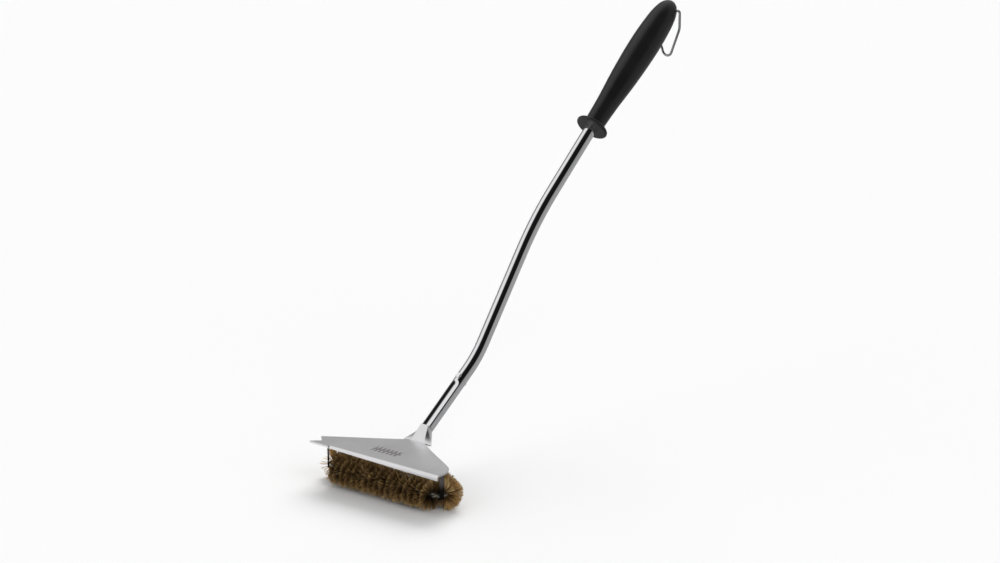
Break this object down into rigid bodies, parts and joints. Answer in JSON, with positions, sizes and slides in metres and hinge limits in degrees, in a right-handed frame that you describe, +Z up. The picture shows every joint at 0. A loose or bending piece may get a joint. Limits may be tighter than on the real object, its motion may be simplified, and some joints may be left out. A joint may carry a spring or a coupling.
{
  "type": "grill cleaning brush",
  "caption": "Long-handled brass wire grill brush with a notched scraper plate, a bent steel shaft, a moulded grip and a swinging wire loop to hang it by.",
  "frame": {"origin": "middle of the grip, on its axis, where a hand holds the tool", "axes": "+X along the brush head to the side away from the scraper notch, +Y level from the head towards the grip's end, +Z up when the scrubbing face is down and level"},
  "size_m": [0.15, 0.4118, 0.3569],
  "materials": {
    "plate_steel": "satin stamped stainless sheet",
    "tube_chrome": "bright plated",
    "rivet_steel": "bright domed head",
    "grip_plastic": "satin black moulding",
    "bristle_brass": "drawn wire, bright cut tips",
    "core_steel": "galvanised twisted wire",
    "clip_steel": "dull strip",
    "loop_wire": "plated wire"
  },
  "bodies": {
    "brush": {"head_plate": "plate_steel", "shaft_tube": "tube_chrome", "tang_rivet": "rivet_steel", "grip": "grip_plastic", "bristles_front": "bristle_brass", "bristles_right": "bristle_brass", "bristles_left": "bristle_brass", "bristle_corner_right": "bristle_brass", "bristle_corner_left": "bristle_brass", "brush_core": "core_steel", "core_ferrule": "core_steel", "corner_clip_right": "clip_steel", "corner_clip_left": "clip_steel", "rear_clip": "clip_steel"},
    "loop": {"hang_loop": "loop_wire"}
  },
  "joints": [
    {"name": "loop_swing", "type": "hinge", "parent": "brush", "child": "loop", "pos_m": [0, 0.05127, 0.04093], "axis": [1, 0, 0], "range_deg": [-26, 284]}
  ]
}
